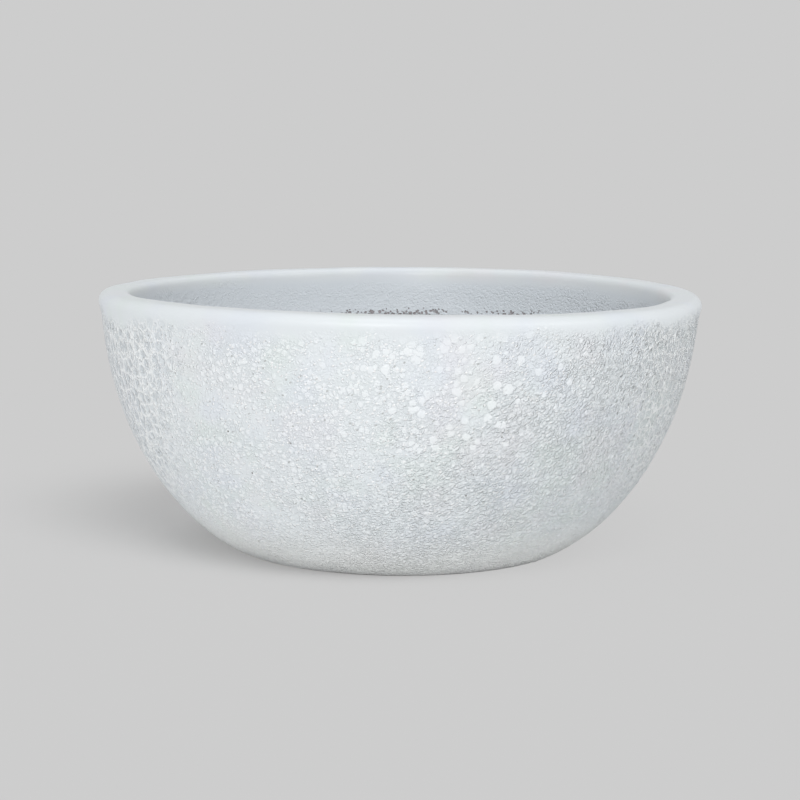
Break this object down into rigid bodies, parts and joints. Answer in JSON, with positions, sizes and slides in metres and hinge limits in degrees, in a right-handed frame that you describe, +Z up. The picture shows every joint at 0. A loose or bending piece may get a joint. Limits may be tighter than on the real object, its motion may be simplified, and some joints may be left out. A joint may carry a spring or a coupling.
{
  "type": "concrete bowl planter",
  "caption": "Low round bowl planter of white crackle-textured concrete with a rounded lip, a flat standing ring and a rubber bung in its drain hole.",
  "frame": {"origin": "centre of the standing ring, on the ground plane", "axes": "+Z up along the bowl's axis; the bung's pull tab is broad along X"},
  "size_m": [0.525, 0.5248, 0.2275],
  "materials": {
    "face_coat": "matte",
    "fibre_scrim": "satin",
    "core_concrete": "matte",
    "bung_rubber": "satin"
  },
  "bodies": {
    "bowl": {"face_coat": "face_coat", "fibre_scrim": "fibre_scrim", "core_shell": "core_concrete"},
    "bung": {"drain_bung": "bung_rubber"}
  },
  "joints": [
    {"name": "bung_lift", "type": "slide", "parent": "bowl", "child": "bung", "axis": [0, 0, 1], "range_m": [0, 0.24]}
  ]
}
